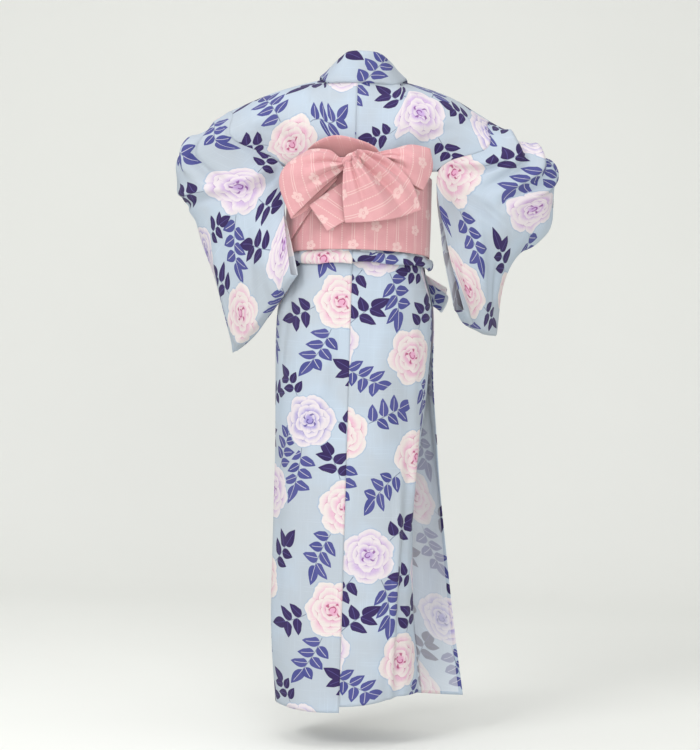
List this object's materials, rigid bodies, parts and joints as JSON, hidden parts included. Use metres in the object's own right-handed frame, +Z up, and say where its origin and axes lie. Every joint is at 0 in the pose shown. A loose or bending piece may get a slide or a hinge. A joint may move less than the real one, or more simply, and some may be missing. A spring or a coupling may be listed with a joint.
{
  "type": "cotton yukata robe",
  "caption": "Cotton yukata robe with rose and leaf print, worn left front over right, with a pink half-width obi tied in a bow behind. Hollow, open at neck, cuffs and hem.",
  "frame": {"origin": "on the wearer's axis, level with the seam at the nape, where the wearer's neck and shoulders hold the robe up", "axes": "+Z up the wearer, +Y the way the wearer faces, +X to the wearer's right"},
  "size_m": [0.7939, 0.3402, 1.3344],
  "materials": {
    "yukata_cotton": "plain-weave cotton, pale blue with printed roses and leaves",
    "obi_weave": "woven pink band with pale lines and small flowers"
  },
  "bodies": {
    "root": {"upper_left": "yukata_cotton", "upper_right": "yukata_cotton", "collar": "yukata_cotton", "sleeve_left": "yukata_cotton", "sleeve_right": "yukata_cotton", "back_left": "yukata_cotton", "back_right": "yukata_cotton", "front_left": "yukata_cotton", "front_right": "yukata_cotton", "overlap_left": "yukata_cotton", "overlap_right": "yukata_cotton", "tuck_left": "yukata_cotton", "tuck_right": "yukata_cotton", "obi_band": "obi_weave", "bow_wing_left": "obi_weave", "bow_wing_right": "obi_weave", "bow_leaf": "obi_weave", "bow_end": "obi_weave", "bow_arch": "obi_weave", "bow_knot": "obi_weave"}
  },
  "joints": []
}
